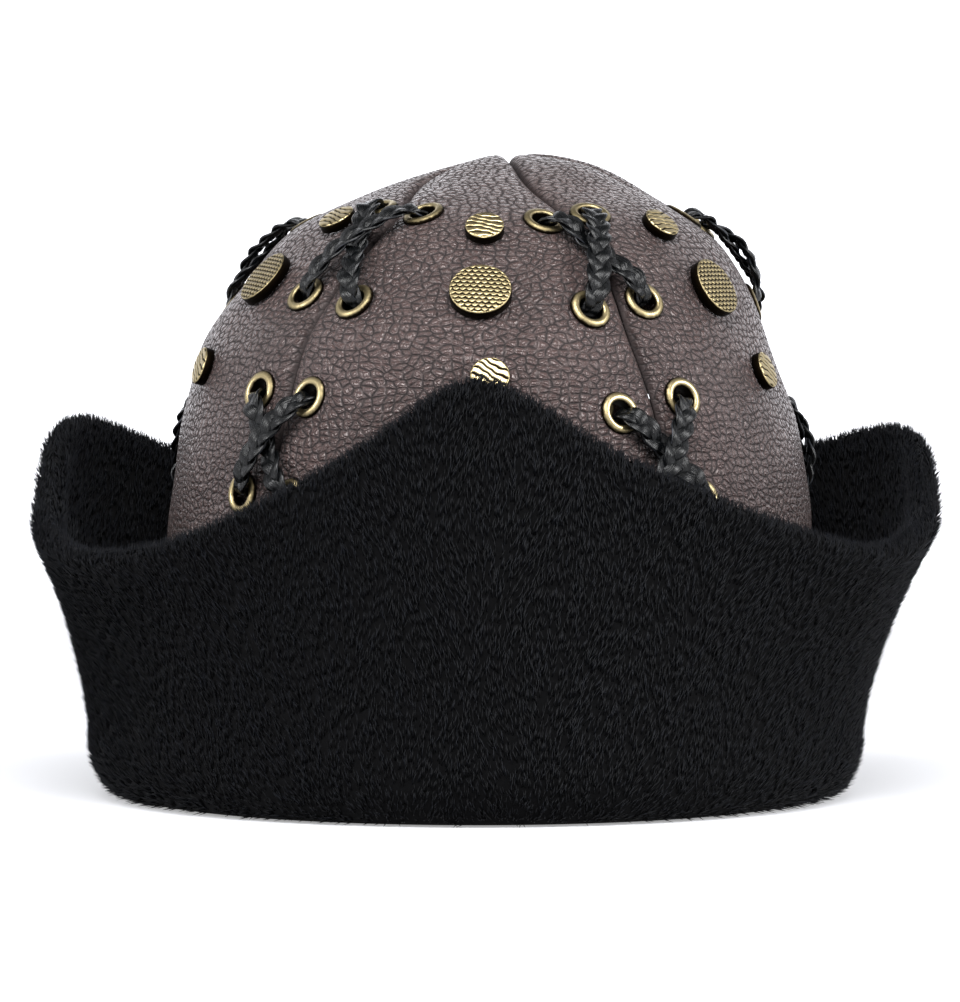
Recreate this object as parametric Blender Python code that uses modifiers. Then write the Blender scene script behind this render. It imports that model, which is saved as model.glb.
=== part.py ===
"""A bork hat: a soft leather crown of six gores in a turned-up fur brim.

Metres, +Z up. The origin is under the middle of the hat, on the surface that it rests on, and the front of the
hat faces -Y. The crown and the brim are drawn round the middle of the crown's lower edge, and the empty that
carries every piece moves them so that the hat's middle is at the origin. Azimuths are in degrees round that
edge, from 0 at the front, through 90 at +X.
"""

import math

import bmesh
import bpy
import numpy as np
from mathutils import Matrix

MM = 0.001
TOUCHING = 0.3 * MM  # clearance between pieces that touch

# Crown
LEATHER = 2.0 * MM
HALF_WIDTH = 91.0 * MM
HALF_DEPTH = 107.0 * MM
# Sections of the crown from the sewn edge to the apex.
# height, half-width as a share of HALF_WIDTH, lean to the right, lean to the front
CROWN_SECTIONS = (
    (6.3, 0.990, 0.0, 0.0),
    (40.0, 0.990, 1.0, 0.0),
    (80.0, 0.980, 2.8, 0.0),
    (110.0, 0.925, 2.0, 0.0),
    (128.0, 0.862, 1.6, -1.0),
    (145.0, 0.766, 4.2, -3.0),
    (157.0, 0.660, 4.8, -3.0),
    (169.0, 0.430, 7.5, -2.0),
    (177.5, 0.210, 10.0, 0.0),
    (181.0, 0.000, 8.0, 0.0),
)
# Seams in order of azimuth: name, and azimuths at the shares of the way up in SEAM_KNOTS.
SEAM_KNOTS = (0.0, 0.62, 0.75, 0.88, 1.0)
SEAMS = (
    ("back_left", (-150.0, -150.0, -150.0, -162.0, -178.0)),
    ("left", (-106.0, -99.0, -96.0, -106.0, -124.0)),
    ("front_left", (-47.0, -37.0, -33.0, -55.0, -74.0)),
    ("front_right", (34.0, 27.0, 19.0, 4.0, -10.0)),
    ("right", (102.0, 93.0, 88.0, 87.0, 80.0)),
    ("back_right", (149.0, 149.0, 149.0, 142.0, 132.0)),
)
# Gores, each to the right of the seam in the same row: name, how many mm its middle is puffed out, and the
# height and the place across of its studs from the top.
GORES = (
    ("left_back", 2.5, ((159.5, 0.0), (143.5, 0.0), (120.5, 0.0))),
    ("left_front", 2.0, ((160.0, 0.5), (144.0, 0.28), (120.5, 0.08))),
    ("front", 3.0, ((156.5, 0.07), (139.0, 0.08), (116.5, 0.13))),
    ("right_front", 3.0, ((158.5, -0.32), (141.5, -0.24), (119.0, -0.03))),
    ("right_back", 6.0, ((159.5, 0.0), (143.5, 0.0), (120.5, 0.0))),
    ("back", 4.0, ((156.5, 0.0), (139.0, 0.0), (116.5, 0.0))),
)
PUFF_SHAPE = 0.7  # 1 puffs a gore in a parabola across, and less makes it fuller near the seams
SEAM_DIP = 1.2 * MM  # how far the seams are pulled in
SEAM_DIP_REACH = 2.0 * MM
SEAM_DIP_FULL_AT = 1 / 6  # share of the way up where a seam is first pulled in fully
SEAM_GAP = 0.42 * MM  # between two gores along their seam
APEX_GAP = 2.0 * MM  # radius at which the gores end
LEAST_WIDTH = 0.1 * MM  # of a gore, at its point
PROFILE_STEP = 0.01  # share of the way up over which the profile's slope is measured
FRAME_STEP = 0.004  # shares over which the slopes of the leather's face are measured
GORE_COLUMNS = (-1.0, -0.92, -0.66, -0.33, 0.0, 0.33, 0.66, 0.92, 1.0)
GORE_ROWS = (0.0, 0.18, 0.35, 0.42, 0.49, 0.56, 0.62, 0.68, 0.74, 0.81, 0.87, 0.93, 1.0)

# Eyelets and laces
EYELET_RADIUS = 5.9 * MM
EYELET_CREST_RADIUS = 4.9 * MM
EYELET_RISE = 1.1 * MM
EYELET_DEPTH = 1.8 * MM  # how deep the rim is set in the leather
EYELET_HOLE = 3.35 * MM
EYELET_SIDES = 8
EYELET_ACROSS = 0.8  # where across a gore the height of its eyelets is measured
# Crosses: name, then height and distance from the seam of the upper pair of eyelets and of the lower pair.
CROSSES = (
    ("upper", (162.0, 7.2), (138.0, 8.0)),
    ("lower", (112.0, 8.6), (84.5, 8.6)),
)
# How much higher and farther from the seam some crosses' eyelets sit, on the left and on the right.
EYELET_SHIFTS = {
    ("front_left", "upper"): ((2.2, 1.6), (-0.4, 3.2)),
    ("front_left", "lower"): ((1.6, 2.8), (0.0, 0.4)),
    ("front_right", "upper"): ((-2.6, 2.6), (0.2, -0.2)),
    ("front_right", "lower"): ((-4.4, 4.0), (-0.2, 1.2)),
    ("right", "upper"): ((1.6, 2.0), (0.0, 0.0)),
}
LACE_WIDTH = 5.2 * MM
LACE_THICKNESS = 1.8 * MM
# Route of a lace through one eyelet, from outside to inside:
# distance from the eyelet's middle along the strand, height over the leather, width share
LACE_THROUGH = (
    (5.0, 3.5, 1.0),
    (1.7, 2.5, 0.72),
    (0.0, -0.8, 0.66),
    (1.4, -4.4, 0.72),
    (4.8, -6.6, 1.0),
)
# Between two eyelets: place along the strand, height of the under strand, height of the over strand.
LACE_ACROSS = (
    (0.36, 2.6, 5.2),
    (0.50, 2.4, 5.5),
    (0.64, 2.6, 5.2),
)

# Studs: radius, thickness, edge bevel, sides
STUD_SIZES = {
    "small": (5.3 * MM, 2.6 * MM, 0.5 * MM, 10),
    "big": (8.4 * MM, 3.0 * MM, 0.6 * MM, 14),
}
STUDS = (("top", "small"), ("middle", "big"), ("low", "small"))  # of a gore, from the top

# Fur brim. Distances out are measured from the crown's lower edge.
BRIM_HOLE = -3.2 * MM
BASE_FLAT = (6.5 * MM, 12.5 * MM)  # where the flat underside ends at the sides, at the front and back
BASE_WALL = (19.2 * MM, 21.0 * MM)  # where the wall stands up from the fold there
BASE_FOLD = 17.0 * MM  # height of the fold
BASE_SHIFT = 1.2 * MM  # how far the base sits to the left of the crown
BASE_THICKNESS = 6.0 * MM
GAP_FLOOR = 3.5 * MM  # where the flat inner ledge ends
GAP_RISE = 1.5 * MM  # how much higher the gap's floor is halfway to the wall
RIM_RADIUS = 4.4 * MM  # half of the brim's thickness
# The rim's crest: azimuth, height, distance out, how late the wall flares (1 is straight)
RIM = (
    (-180.0, 84.0, 25.0, 1.3),
    (-155.0, 88.0, 27.0, 1.3),
    (-130.0, 97.5, 30.0, 1.3),
    (-107.0, 106.3, 35.0, 1.3),
    (-90.0, 88.3, 31.5, 1.4),
    (-74.0, 75.0, 32.0, 1.6),
    (-57.0, 70.0, 31.0, 1.8),
    (-45.0, 73.0, 27.0, 1.8),
    (-30.0, 84.0, 23.0, 1.6),
    (-15.0, 99.8, 20.5, 1.3),
    (-6.0, 112.0, 19.5, 1.3),
    (-1.0, 116.0, 19.5, 1.3),
    (6.0, 111.5, 19.5, 1.3),
    (15.0, 100.5, 20.5, 1.3),
    (30.0, 87.0, 23.5, 1.6),
    (45.0, 77.0, 27.5, 1.8),
    (58.0, 71.5, 31.5, 1.8),
    (74.0, 76.0, 34.0, 1.6),
    (90.0, 87.0, 35.5, 1.4),
    (107.0, 103.5, 40.0, 1.3),
    (130.0, 97.0, 32.0, 1.3),
    (155.0, 88.0, 27.0, 1.3),
)
BRIM_SECTIONS = 42
WALL_ROWS = (0.33, 0.67, 1.0)

# Colours, linear
BROWN_LEATHER = (0.118, 0.078, 0.070, 1.0)
BLACK_FUR = (0.006, 0.006, 0.008, 1.0)
BLACK_LACE = (0.012, 0.013, 0.016, 1.0)
ANTIQUE_BRASS = (0.40, 0.27, 0.09, 1.0)


def smooth(knots, values, at):
    """The values at the places asked for, on a smooth curve through a table's rows."""
    slopes = np.gradient(values, knots, axis=0)
    row = np.clip(np.searchsorted(knots, at, side="right") - 1, 0, len(knots) - 2)
    span = (knots[row + 1] - knots[row])[..., None]
    u = (at - knots[row])[..., None] / span
    start, end = values[row], values[row + 1]
    rise, fall = slopes[row] * span, slopes[row + 1] * span
    return (
        start * (1 + 2 * u) * (1 - u) ** 2
        + end * u**2 * (3 - 2 * u)
        + rise * u * (1 - u) ** 2
        - fall * u**2 * (1 - u)
    )


def crown_profile():
    """Distances along the crown's profile, from 0 at the sewn edge to 1 at the apex, and its sections there.
    The row past the apex mirrors the one before it, so that the top is level."""
    rows = np.array(CROWN_SECTIONS) * (MM, HALF_WIDTH, MM, MM)
    past = rows[-2] * (1, -1, 1, 1)
    past[2:] = 2 * rows[-1, 2:] - rows[-2, 2:]
    rows = np.vstack([rows, past])
    steps = np.hypot(np.diff(rows[:, 0]), np.diff(rows[:, 1]))
    along = np.concatenate([[0.0], np.cumsum(steps)])
    return along / along[-2], rows


PROFILE_ALONG, PROFILE_ROWS = crown_profile()


def seam_azimuth(seam, up):
    """The seam's azimuth in degrees at a share of the way up the profile."""
    turn, index = divmod(seam, len(SEAMS))
    azimuths = np.array(SEAMS[index][1])[:, None]
    return smooth(np.array(SEAM_KNOTS), azimuths, up)[..., 0] + 360.0 * turn


def gore_width(gore, up):
    """The gore's width along the leather at a share of the way up."""
    left, right = seam_azimuth(gore, up), seam_azimuth(gore + 1, up)
    middle = np.radians((left + right) / 2)
    girth = smooth(PROFILE_ALONG, PROFILE_ROWS, up)[..., 1] / HALF_WIDTH
    metric = np.hypot(HALF_WIDTH * np.cos(middle), HALF_DEPTH * np.sin(middle))
    return np.maximum(girth * metric * np.radians(right - left), LEAST_WIDTH)


def crown_point(gore, across, up):
    """A point on the leather's outer face. across runs from -1 at the gore's left seam to 1 at its right
    one. The ellipse of that height is puffed out between the seams and pulled in along them."""
    across, up = np.broadcast_arrays(np.asarray(across, float), np.asarray(up, float))
    height, radius, lean, forward = np.moveaxis(
        smooth(PROFILE_ALONG, PROFILE_ROWS, up), -1, 0
    )
    left, right = seam_azimuth(gore, up), seam_azimuth(gore + 1, up)
    azimuth = np.radians(left + (right - left) * (across + 1) / 2)
    above = smooth(PROFILE_ALONG, PROFILE_ROWS, np.minimum(up + PROFILE_STEP, 1.0))
    rise = above[..., 0] - height
    narrowing = radius - above[..., 1]
    steepness = np.maximum(np.hypot(rise, narrowing), 1e-9)
    puff = GORES[gore % len(GORES)][1] * MM
    puff = puff * np.sqrt(np.clip(np.sin(np.pi * up), 0, 1)) * (1 - across**2) ** PUFF_SHAPE
    from_seam = (1 - np.abs(across)) * gore_width(gore, up) / 2
    dip = SEAM_DIP * np.exp(-((from_seam / SEAM_DIP_REACH) ** 2))
    dip = dip * np.minimum(1, up / SEAM_DIP_FULL_AT)
    out = (puff - dip) * rise / steepness
    raised = (puff - dip) * narrowing / steepness
    depth = radius * HALF_DEPTH / HALF_WIDTH
    return np.stack(
        [
            lean + (radius + out) * np.sin(azimuth),
            -forward - (depth + out) * np.cos(azimuth),
            height + raised,
        ],
        axis=-1,
    )


def crown_frame(gore, across, up):
    """The point, and the unit vectors to the right, up along the leather and out of it."""
    point = crown_point(gore, across, up)
    right = crown_point(gore, across + FRAME_STEP, up) - crown_point(gore, across - FRAME_STEP, up)
    rise = crown_point(gore, across, up + FRAME_STEP) - crown_point(gore, across, up - FRAME_STEP)
    out = np.cross(right, rise)
    out /= np.linalg.norm(out)
    rise = rise / np.linalg.norm(rise)
    return point, np.cross(rise, out), rise, out


def up_at_height(gore, across, height):
    """How far up the profile the leather reaches a height."""
    ups = np.linspace(0.0, 1.0, 200)
    heights = crown_point(gore, np.full_like(ups, across), ups)[:, 2]
    top = int(np.argmax(heights))
    return float(np.interp(height, heights[: top + 1], ups[: top + 1]))


def eyelet_frame(seam, side, cross, pair):
    """The frame of the eyelet on the left (-1) or right (1) of a seam, in a cross's upper (1) or lower (2)
    pair."""
    gore = seam - 1 if side < 0 else seam
    height, inset = cross[pair]
    shifts = EYELET_SHIFTS.get((SEAMS[seam % len(SEAMS)][0], cross[0]))
    if shifts:
        raised, farther = shifts[0 if side < 0 else 1]
        height, inset = height + raised, inset + farther
    up = up_at_height(gore, -EYELET_ACROSS * side, height * MM)
    across = -side * (1 - 2 * inset * MM / float(gore_width(gore, np.array(up))))
    return crown_frame(gore, across, up)


def frame_matrix(frame, lift=0.0):
    point, right, rise, out = frame
    columns = np.array([right, rise, out, point + out * lift]).T
    return Matrix([*columns.tolist(), [0.0, 0.0, 0.0, 1.0]])


def principled(name, colour, roughness, metallic=0.0):
    material = bpy.data.materials.new(name)
    material.use_nodes = True
    shader = material.node_tree.nodes["Principled BSDF"]
    shader.inputs["Base Color"].default_value = colour
    shader.inputs["Roughness"].default_value = roughness
    shader.inputs["Metallic"].default_value = metallic
    material.diffuse_color = colour
    return material


def add_object(name, mesh, collection, parent=None, material=None):
    obj = bpy.data.objects.new(name, mesh)
    collection.objects.link(obj)
    obj.parent = parent
    if material:
        mesh.materials.append(material)
    return obj


def grid_mesh(name, points, closed=False):
    """A mesh on a grid of points. A closed one joins its last row and column to the first."""
    rows, columns = points.shape[:2]
    index = np.arange(rows * columns).reshape(rows, columns)
    if closed:
        index = np.pad(index, ((0, 1), (0, 1)), mode="wrap")
    corners = (index[:-1, :-1], index[:-1, 1:], index[1:, 1:], index[1:, :-1])
    faces = np.stack(corners, axis=-1).reshape(-1, 4)
    mesh = bpy.data.meshes.new(name)
    mesh.from_pydata(points.reshape(-1, 3).tolist(), [], faces.tolist())
    mesh.shade_smooth()
    return mesh


def cylinders(name, frames, size, lift, collection, parent):
    """Short round pieces on the eyelets' frames in one cutter. size is the lower radius, the upper radius and
    the depth, and lift is the height of their middle over the leather."""
    radius, top_radius, depth = size
    mesh = bpy.data.meshes.new(name)
    shape = bmesh.new()
    for frame in frames:
        bmesh.ops.create_cone(
            shape,
            cap_ends=True,
            segments=EYELET_SIDES,
            radius1=radius,
            radius2=top_radius,
            depth=depth,
            matrix=frame_matrix(frame, lift),
        )
    shape.to_mesh(mesh)
    shape.free()
    cutter = add_object(name, mesh, collection, parent)
    cutter.hide_render = True
    cutter.display_type = "WIRE"
    return cutter


def add_boolean(obj, operation, cutter):
    boolean = obj.modifiers.new(cutter.name, "BOOLEAN")
    boolean.operation = operation
    boolean.solver = "EXACT"
    boolean.object = cutter


def build_gore(gore, parts, cutters, parent, leather):
    """One gore: an open sheet thickened inwards, with eight eyelets raised on it and holes through them."""
    name = f"gore_{GORES[gore][0]}"
    end = float(np.interp(-APEX_GAP, -PROFILE_ROWS[:-1, 1], PROFILE_ALONG[:-1]))
    ups = np.array(GORE_ROWS)[:, None] * end
    edge = 1 - SEAM_GAP / gore_width(gore, ups)
    across = np.array(GORE_COLUMNS)[None, :] * edge
    sheet = add_object(
        name, grid_mesh(name, crown_point(gore, across, ups)), parts, parent, leather
    )
    wall = sheet.modifiers.new("leather wall", "SOLIDIFY")
    wall.thickness = LEATHER
    wall.offset = -1.0
    wall.use_even_offset = True
    pairs = [(cross, pair) for cross in CROSSES for pair in (1, 2)]
    frames = [eyelet_frame(gore, 1, *pair) for pair in pairs]
    frames += [eyelet_frame(gore + 1, -1, *pair) for pair in pairs]
    rim_size = (EYELET_RADIUS, EYELET_CREST_RADIUS, EYELET_DEPTH + EYELET_RISE)
    hole_size = (EYELET_HOLE, EYELET_HOLE, 4 * LEATHER)
    rim_lift = (EYELET_RISE - EYELET_DEPTH) / 2
    rims = cylinders(f"{name}_eyelet_rims", frames, rim_size, rim_lift, cutters, parent)
    holes = cylinders(f"{name}_eyelet_holes", frames, hole_size, 0.0, cutters, parent)
    add_boolean(sheet, "UNION", rims)
    add_boolean(sheet, "DIFFERENCE", holes)


def through_eyelet(frame, strand, inside):
    """Points, side vectors and widths of a lace from the outside to the inside of one eyelet. strand and inside
    are the ways that it leaves the eyelet on the two faces of the leather."""
    point, right, _, out = frame
    sides = []
    for way in (strand, inside):
        side = np.cross(out, way)
        side *= np.sign(side @ right) or 1.0
        sides.append(side / np.linalg.norm(side))
    rows = []
    for share, (distance, height, width) in zip((0, 0, 0.5, 1, 1), LACE_THROUGH, strict=True):
        way = strand if height > 0 else inside
        place = point + way * distance * MM + out * height * MM
        rows.append((place, sides[0] * (1 - share) + sides[1] * share, width))
    return rows


def across_leather(start, end, bow, lifts):
    """Points of a strand between two eyelets, over the leather by the heights given. bow is how far the
    leather's curve rises over the straight way between them."""
    way = end[0] - start[0]
    out = start[3] + end[3]
    side = np.cross(out, way)
    side *= np.sign(side @ start[1])
    out /= np.linalg.norm(out)
    side /= np.linalg.norm(side)
    rows = []
    for (share, _, _), lift in zip(LACE_ACROSS, lifts, strict=True):
        over = bow * 4 * share * (1 - share) + lift * MM
        rows.append((start[0] + way * share + out * over, side, 1.0))
    return rows


def leather_bow(start, end):
    """The rise of a curved sheet over the straight way between two of its points, from its normals."""
    turn = np.arccos(np.clip(start[3] @ end[3], -1, 1))
    return np.linalg.norm(end[0] - start[0]) * turn / 8


def unit_way(start, end, out):
    """The direction from one eyelet to another, laid along the leather."""
    way = end[0] - start[0]
    way = way - out * (way @ out)
    return way / np.linalg.norm(way)


def lace_route(seam, cross):
    """One lace through its four eyelets: it comes out at the upper left, crosses under to the lower right,
    runs up inside, comes out at the upper right, and crosses over to the lower left."""
    upper_left, upper_right = (eyelet_frame(seam, side, cross, 1) for side in (-1, 1))
    lower_left, lower_right = (eyelet_frame(seam, side, cross, 2) for side in (-1, 1))
    route = []
    for start, end, lifts, before, after in (
        (upper_left, lower_right, [row[1] for row in LACE_ACROSS], lower_left, upper_right),
        (upper_right, lower_left, [row[2] for row in LACE_ACROSS], lower_right, upper_left),
    ):
        leaving = through_eyelet(
            start, unit_way(start, end, start[3]), unit_way(start, before, start[3])
        )
        entering = through_eyelet(
            end, unit_way(end, start, end[3]), unit_way(end, after, end[3])
        )
        across = across_leather(start, end, leather_bow(start, end), lifts)
        route += leaving[::-1] + across + entering
    return route


def build_lace(seam, cross, parts, parent, braid):
    """A ribbon along the lace's route, thickened both ways."""
    places, sides, widths = (
        np.array(column) for column in zip(*lace_route(seam, cross), strict=True)
    )
    half = (widths * LACE_WIDTH / 2)[:, None] * sides
    ribbon = np.stack([places - half, places + half], axis=1)
    name = f"lace_{SEAMS[seam][0]}_{cross[0]}"
    lace = add_object(name, grid_mesh(name, ribbon), parts, parent, braid)
    thick = lace.modifiers.new("braid thickness", "SOLIDIFY")
    thick.thickness = LACE_THICKNESS
    thick.offset = 0.0
    thick.use_even_offset = True


def stud_mesh(size):
    """The open profile of a stud, from its middle on top to its middle underneath."""
    radius, thickness, bevel, _ = STUD_SIZES[size]
    profile = (
        (0.0, thickness),
        (radius - bevel, thickness),
        (radius, thickness - bevel),
        (radius, 0.0),
        (0.0, 0.0),
    )
    mesh = bpy.data.meshes.new(f"{size}_stud_profile")
    mesh.from_pydata(
        [(x, 0.0, z) for x, z in profile], [(i, i + 1) for i in range(len(profile) - 1)], []
    )
    return mesh


def build_studs(gore, parts, parent, meshes):
    """Three studs down the middle of a gore, each turned from its profile."""
    gore_name, _, places = GORES[gore]
    for (name, size), (height, across) in zip(STUDS, places, strict=True):
        frame = crown_frame(gore, across, up_at_height(gore, across, height * MM))
        stud = add_object(f"stud_{gore_name}_{name}", meshes[size], parts, parent)
        stud.matrix_basis = frame_matrix(frame, TOUCHING)
        turning = stud.modifiers.new("turned", "SCREW")
        turning.angle = 2 * math.pi
        turning.steps = turning.render_steps = STUD_SIZES[size][3]
        turning.use_merge_vertices = True
        turning.merge_threshold = 0.00001
        turning.use_smooth_shade = False


def rim_rows():
    """The rim's table, wrapped by some rows at both ends so that it closes smoothly."""
    rows = np.array(RIM)
    before, after = rows[-3:] - (360, 0, 0, 0), rows[:3] + (360, 0, 0, 0)
    return np.vstack([before, rows, after])


def brim_point(azimuth, out, height):
    """A point at a distance out from the crown's lower edge."""
    angle = np.radians(azimuth)
    return np.stack(
        [
            (HALF_WIDTH + out) * np.sin(angle),
            -(HALF_DEPTH + out) * np.cos(angle),
            height * np.ones_like(angle),
        ],
        axis=-1,
    )


def brim_sections():
    """The brim's sections round the hat: from the hole's edge along the flat underside, round the fold, up
    the outer face, over the rim, down the inner face and along the ledge that the crown stands on."""
    azimuth = np.linspace(-180.0, 180.0, BRIM_SECTIONS, endpoint=False)
    rows = rim_rows()
    crest = smooth(rows[:, 0], rows[:, 1:], azimuth)
    height, reach, lateness = crest[:, 0] * MM, crest[:, 1] * MM, crest[:, 2]
    at_end = np.cos(np.radians(azimuth)) ** 2
    shift = BASE_SHIFT * np.sin(np.radians(azimuth))
    flat_edge = BASE_FLAT[0] + (BASE_FLAT[1] - BASE_FLAT[0]) * at_end - shift
    wall_out = BASE_WALL[0] + (BASE_WALL[1] - BASE_WALL[0]) * at_end - shift
    shoulder = height - RIM_RADIUS
    flat = np.ones_like(azimuth)
    places = [(BRIM_HOLE * flat, 0.0 * flat), (flat_edge, 0.0 * flat)]
    for turn in np.radians((45.0, 90.0)):
        out = flat_edge + (wall_out - flat_edge) * np.sin(turn)
        places.append((out, BASE_FOLD * (1 - np.cos(turn)) * flat))
    for share in WALL_ROWS:
        out = wall_out + (reach + RIM_RADIUS - wall_out) * share**lateness
        places.append((out, BASE_FOLD + (shoulder - BASE_FOLD) * share))
    for turn in np.radians((45.0, 90.0, 135.0, 180.0)):
        places.append((reach + RIM_RADIUS * np.cos(turn), shoulder + RIM_RADIUS * np.sin(turn)))
    inner_foot = wall_out - 2 * RIM_RADIUS
    for share in WALL_ROWS[-2::-1]:
        out = inner_foot + (reach - RIM_RADIUS - inner_foot) * share**lateness
        places.append((out, BASE_FOLD + (shoulder - BASE_FOLD) * share))
    places.append(((inner_foot + GAP_FLOOR) / 2, (BASE_THICKNESS + GAP_RISE) * flat))
    places.append((GAP_FLOOR * flat, BASE_THICKNESS * flat))
    places.append((BRIM_HOLE * flat, BASE_THICKNESS * flat))
    points = [brim_point(azimuth, out, level) for out, level in places]
    return np.stack(points, axis=1)


def build_brim(sections, parts, parent, fur):
    mesh = grid_mesh("fur_brim", sections, closed=True)
    mesh.flip_normals()
    add_object("fur_brim", mesh, parts, parent, fur)


def clear_scene():
    for obj in list(bpy.data.objects):
        bpy.data.objects.remove(obj)


def new_collection(name):
    collection = bpy.data.collections.new(name)
    bpy.context.scene.collection.children.link(collection)
    return collection


def build():
    clear_scene()
    parts = new_collection("bork_hat")
    cutters = new_collection("cutters")
    leather = principled("brown leather", BROWN_LEATHER, 0.45)
    fur = principled("black fur", BLACK_FUR, 0.8)
    braid = principled("black braided lace", BLACK_LACE, 0.35)
    brass = principled("antique brass", ANTIQUE_BRASS, 0.4, metallic=1.0)
    sections = brim_sections()
    middle = (sections.min(axis=(0, 1)) + sections.max(axis=(0, 1))) / 2
    hat = bpy.data.objects.new("bork_hat_origin", None)
    hat.location = (-middle[0], -middle[1], 0.0)
    parts.objects.link(hat)
    stud_meshes = {size: stud_mesh(size) for size in STUD_SIZES}
    for mesh in stud_meshes.values():
        mesh.materials.append(brass)
    build_brim(sections, parts, hat, fur)
    for index in range(len(GORES)):
        build_gore(index, parts, cutters, hat, leather)
        build_studs(index, parts, hat, stud_meshes)
        for cross in CROSSES:
            build_lace(index, cross, parts, hat, braid)


build()
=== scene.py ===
"""The looks of a bork hat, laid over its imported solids: a crown of pebbled leather gores with
crimped brass eyelets, braided laces and cast brass studs, in a turned-up brim of short black fur.

Metres, +Z up, the front of the hat towards -Y. Shapes are worked out round the middle of the
crown's lower edge and moved by HAT_MIDDLE, which brings the solids' middle to the origin. Azimuths
are in degrees round that edge, from 0 at the front, through 90 at +X.
"""

import math

import bpy
import numpy as np
from bpy.props import FloatProperty, FloatVectorProperty, IntProperty, PointerProperty
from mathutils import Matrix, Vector


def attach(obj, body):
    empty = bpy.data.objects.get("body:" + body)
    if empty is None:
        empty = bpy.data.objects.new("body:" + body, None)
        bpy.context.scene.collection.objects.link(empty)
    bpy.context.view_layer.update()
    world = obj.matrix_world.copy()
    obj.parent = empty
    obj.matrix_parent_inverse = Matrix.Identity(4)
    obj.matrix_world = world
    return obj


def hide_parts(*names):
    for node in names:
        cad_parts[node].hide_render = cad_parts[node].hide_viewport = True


bl_info = {
    "name": "Bork Hat",
    "version": (1, 0, 0),
    "blender": (4, 5, 0),
    "location": "View3D > Sidebar > Bork Hat",
    "description": "Leather, brass, laces and fur for a bork hat's packed solids",
    "category": "Object",
}

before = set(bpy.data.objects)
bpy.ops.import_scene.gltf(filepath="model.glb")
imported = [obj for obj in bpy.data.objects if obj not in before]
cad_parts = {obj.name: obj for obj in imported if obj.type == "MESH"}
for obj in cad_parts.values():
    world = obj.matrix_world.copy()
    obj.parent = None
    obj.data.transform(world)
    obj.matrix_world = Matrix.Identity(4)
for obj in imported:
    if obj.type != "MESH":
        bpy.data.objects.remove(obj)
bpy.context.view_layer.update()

MM = 0.001
HAT_MIDDLE = np.array([2.1933, 2.7530, 0.0]) * MM

# Crown
LEATHER = 2.0 * MM
HALF_WIDTH = 91.0 * MM
HALF_DEPTH = 107.0 * MM
# height, half-width as a share of HALF_WIDTH, lean to the right, lean to the front
CROWN_SECTIONS = (
    (6.3, 0.990, 0.0, 0.0),
    (40.0, 0.990, 1.0, 0.0),
    (80.0, 0.980, 2.8, 0.0),
    (110.0, 0.925, 2.0, 0.0),
    (128.0, 0.862, 1.6, -1.0),
    (145.0, 0.766, 4.2, -3.0),
    (157.0, 0.660, 4.8, -3.0),
    (169.0, 0.430, 7.5, -2.0),
    (177.5, 0.210, 10.0, 0.0),
    (181.0, 0.000, 8.0, 0.0),
)
# Seams in order of azimuth: name, and azimuths at the shares of the way up in SEAM_KNOTS
SEAM_KNOTS = (0.0, 0.62, 0.75, 0.88, 1.0)
SEAMS = (
    ("back_left", (-150.0, -150.0, -150.0, -162.0, -178.0)),
    ("left", (-106.0, -99.0, -96.0, -106.0, -124.0)),
    ("front_left", (-47.0, -37.0, -33.0, -55.0, -74.0)),
    ("front_right", (34.0, 27.0, 19.0, 4.0, -10.0)),
    ("right", (102.0, 93.0, 88.0, 87.0, 80.0)),
    ("back_right", (149.0, 149.0, 149.0, 142.0, 132.0)),
)
# Gores, each to the right of the seam in the same row: name, how many mm its middle is puffed out,
# and the height and the place across of its studs from the top
GORES = (
    ("left_back", 2.5, ((159.5, 0.0), (143.5, 0.0), (120.5, 0.0))),
    ("left_front", 2.0, ((160.0, 0.5), (144.0, 0.28), (120.5, 0.08))),
    ("front", 3.0, ((156.5, 0.07), (139.0, 0.08), (116.5, 0.13))),
    ("right_front", 3.0, ((158.5, -0.32), (141.5, -0.24), (119.0, -0.03))),
    ("right_back", 6.0, ((159.5, 0.0), (143.5, 0.0), (120.5, 0.0))),
    ("back", 4.0, ((156.5, 0.0), (139.0, 0.0), (116.5, 0.0))),
)
PUFF_SHAPE = 0.7
SEAM_DIP = 1.2 * MM
SEAM_DIP_REACH = 2.0 * MM
SEAM_DIP_FULL_AT = 1 / 6
SEAM_TUCK = 1.0 * MM  # how much deeper the leather's edges are tucked in right at the seam
SEAM_TUCK_REACH = 0.8 * MM
SEAM_GAP = 0.2 * MM
APEX_GAP = 0.5 * MM
LEAST_WIDTH = 0.1 * MM
PROFILE_STEP = 0.01
FRAME_STEP = 0.004
SEAM_CROWDING = 1.6  # how much closer the grid's columns lie towards the seams
FOLD_REACH = 1.6 * MM
RUMPLE = 0.18 * MM  # height of each of the crown's slow waves
# How deep an eyelet or a stud presses the leather in, and how far round it that reaches
EYELET_PRESS = (0.7 * MM, 7.0 * MM)
STUD_PRESS = (0.3 * MM, 8.0 * MM)

# Eyelets and laces
EYELET_ACROSS = 0.8
EYELET_CUT = 4.4 * MM  # radius of the leather's hole, hidden under the eyelet's flange
# Crosses: name, then height and distance from the seam of the upper pair of eyelets and of the
# lower pair
CROSSES = (
    ("upper", (162.0, 7.2), (138.0, 8.0)),
    ("lower", (112.0, 8.6), (84.5, 8.6)),
)
# How much higher and farther from the seam some eyelets of a cross sit, on the left and on the
# right
EYELET_SHIFTS = {
    ("front_left", "upper"): ((2.2, 1.6), (-0.4, 3.2)),
    ("front_left", "lower"): ((1.6, 2.8), (0.0, 0.4)),
    ("front_right", "upper"): ((-2.6, 2.6), (0.2, -0.2)),
    ("front_right", "lower"): ((-4.4, 4.0), (-0.2, 1.2)),
    ("right", "upper"): ((1.6, 2.0), (0.0, 0.0)),
}
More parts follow.
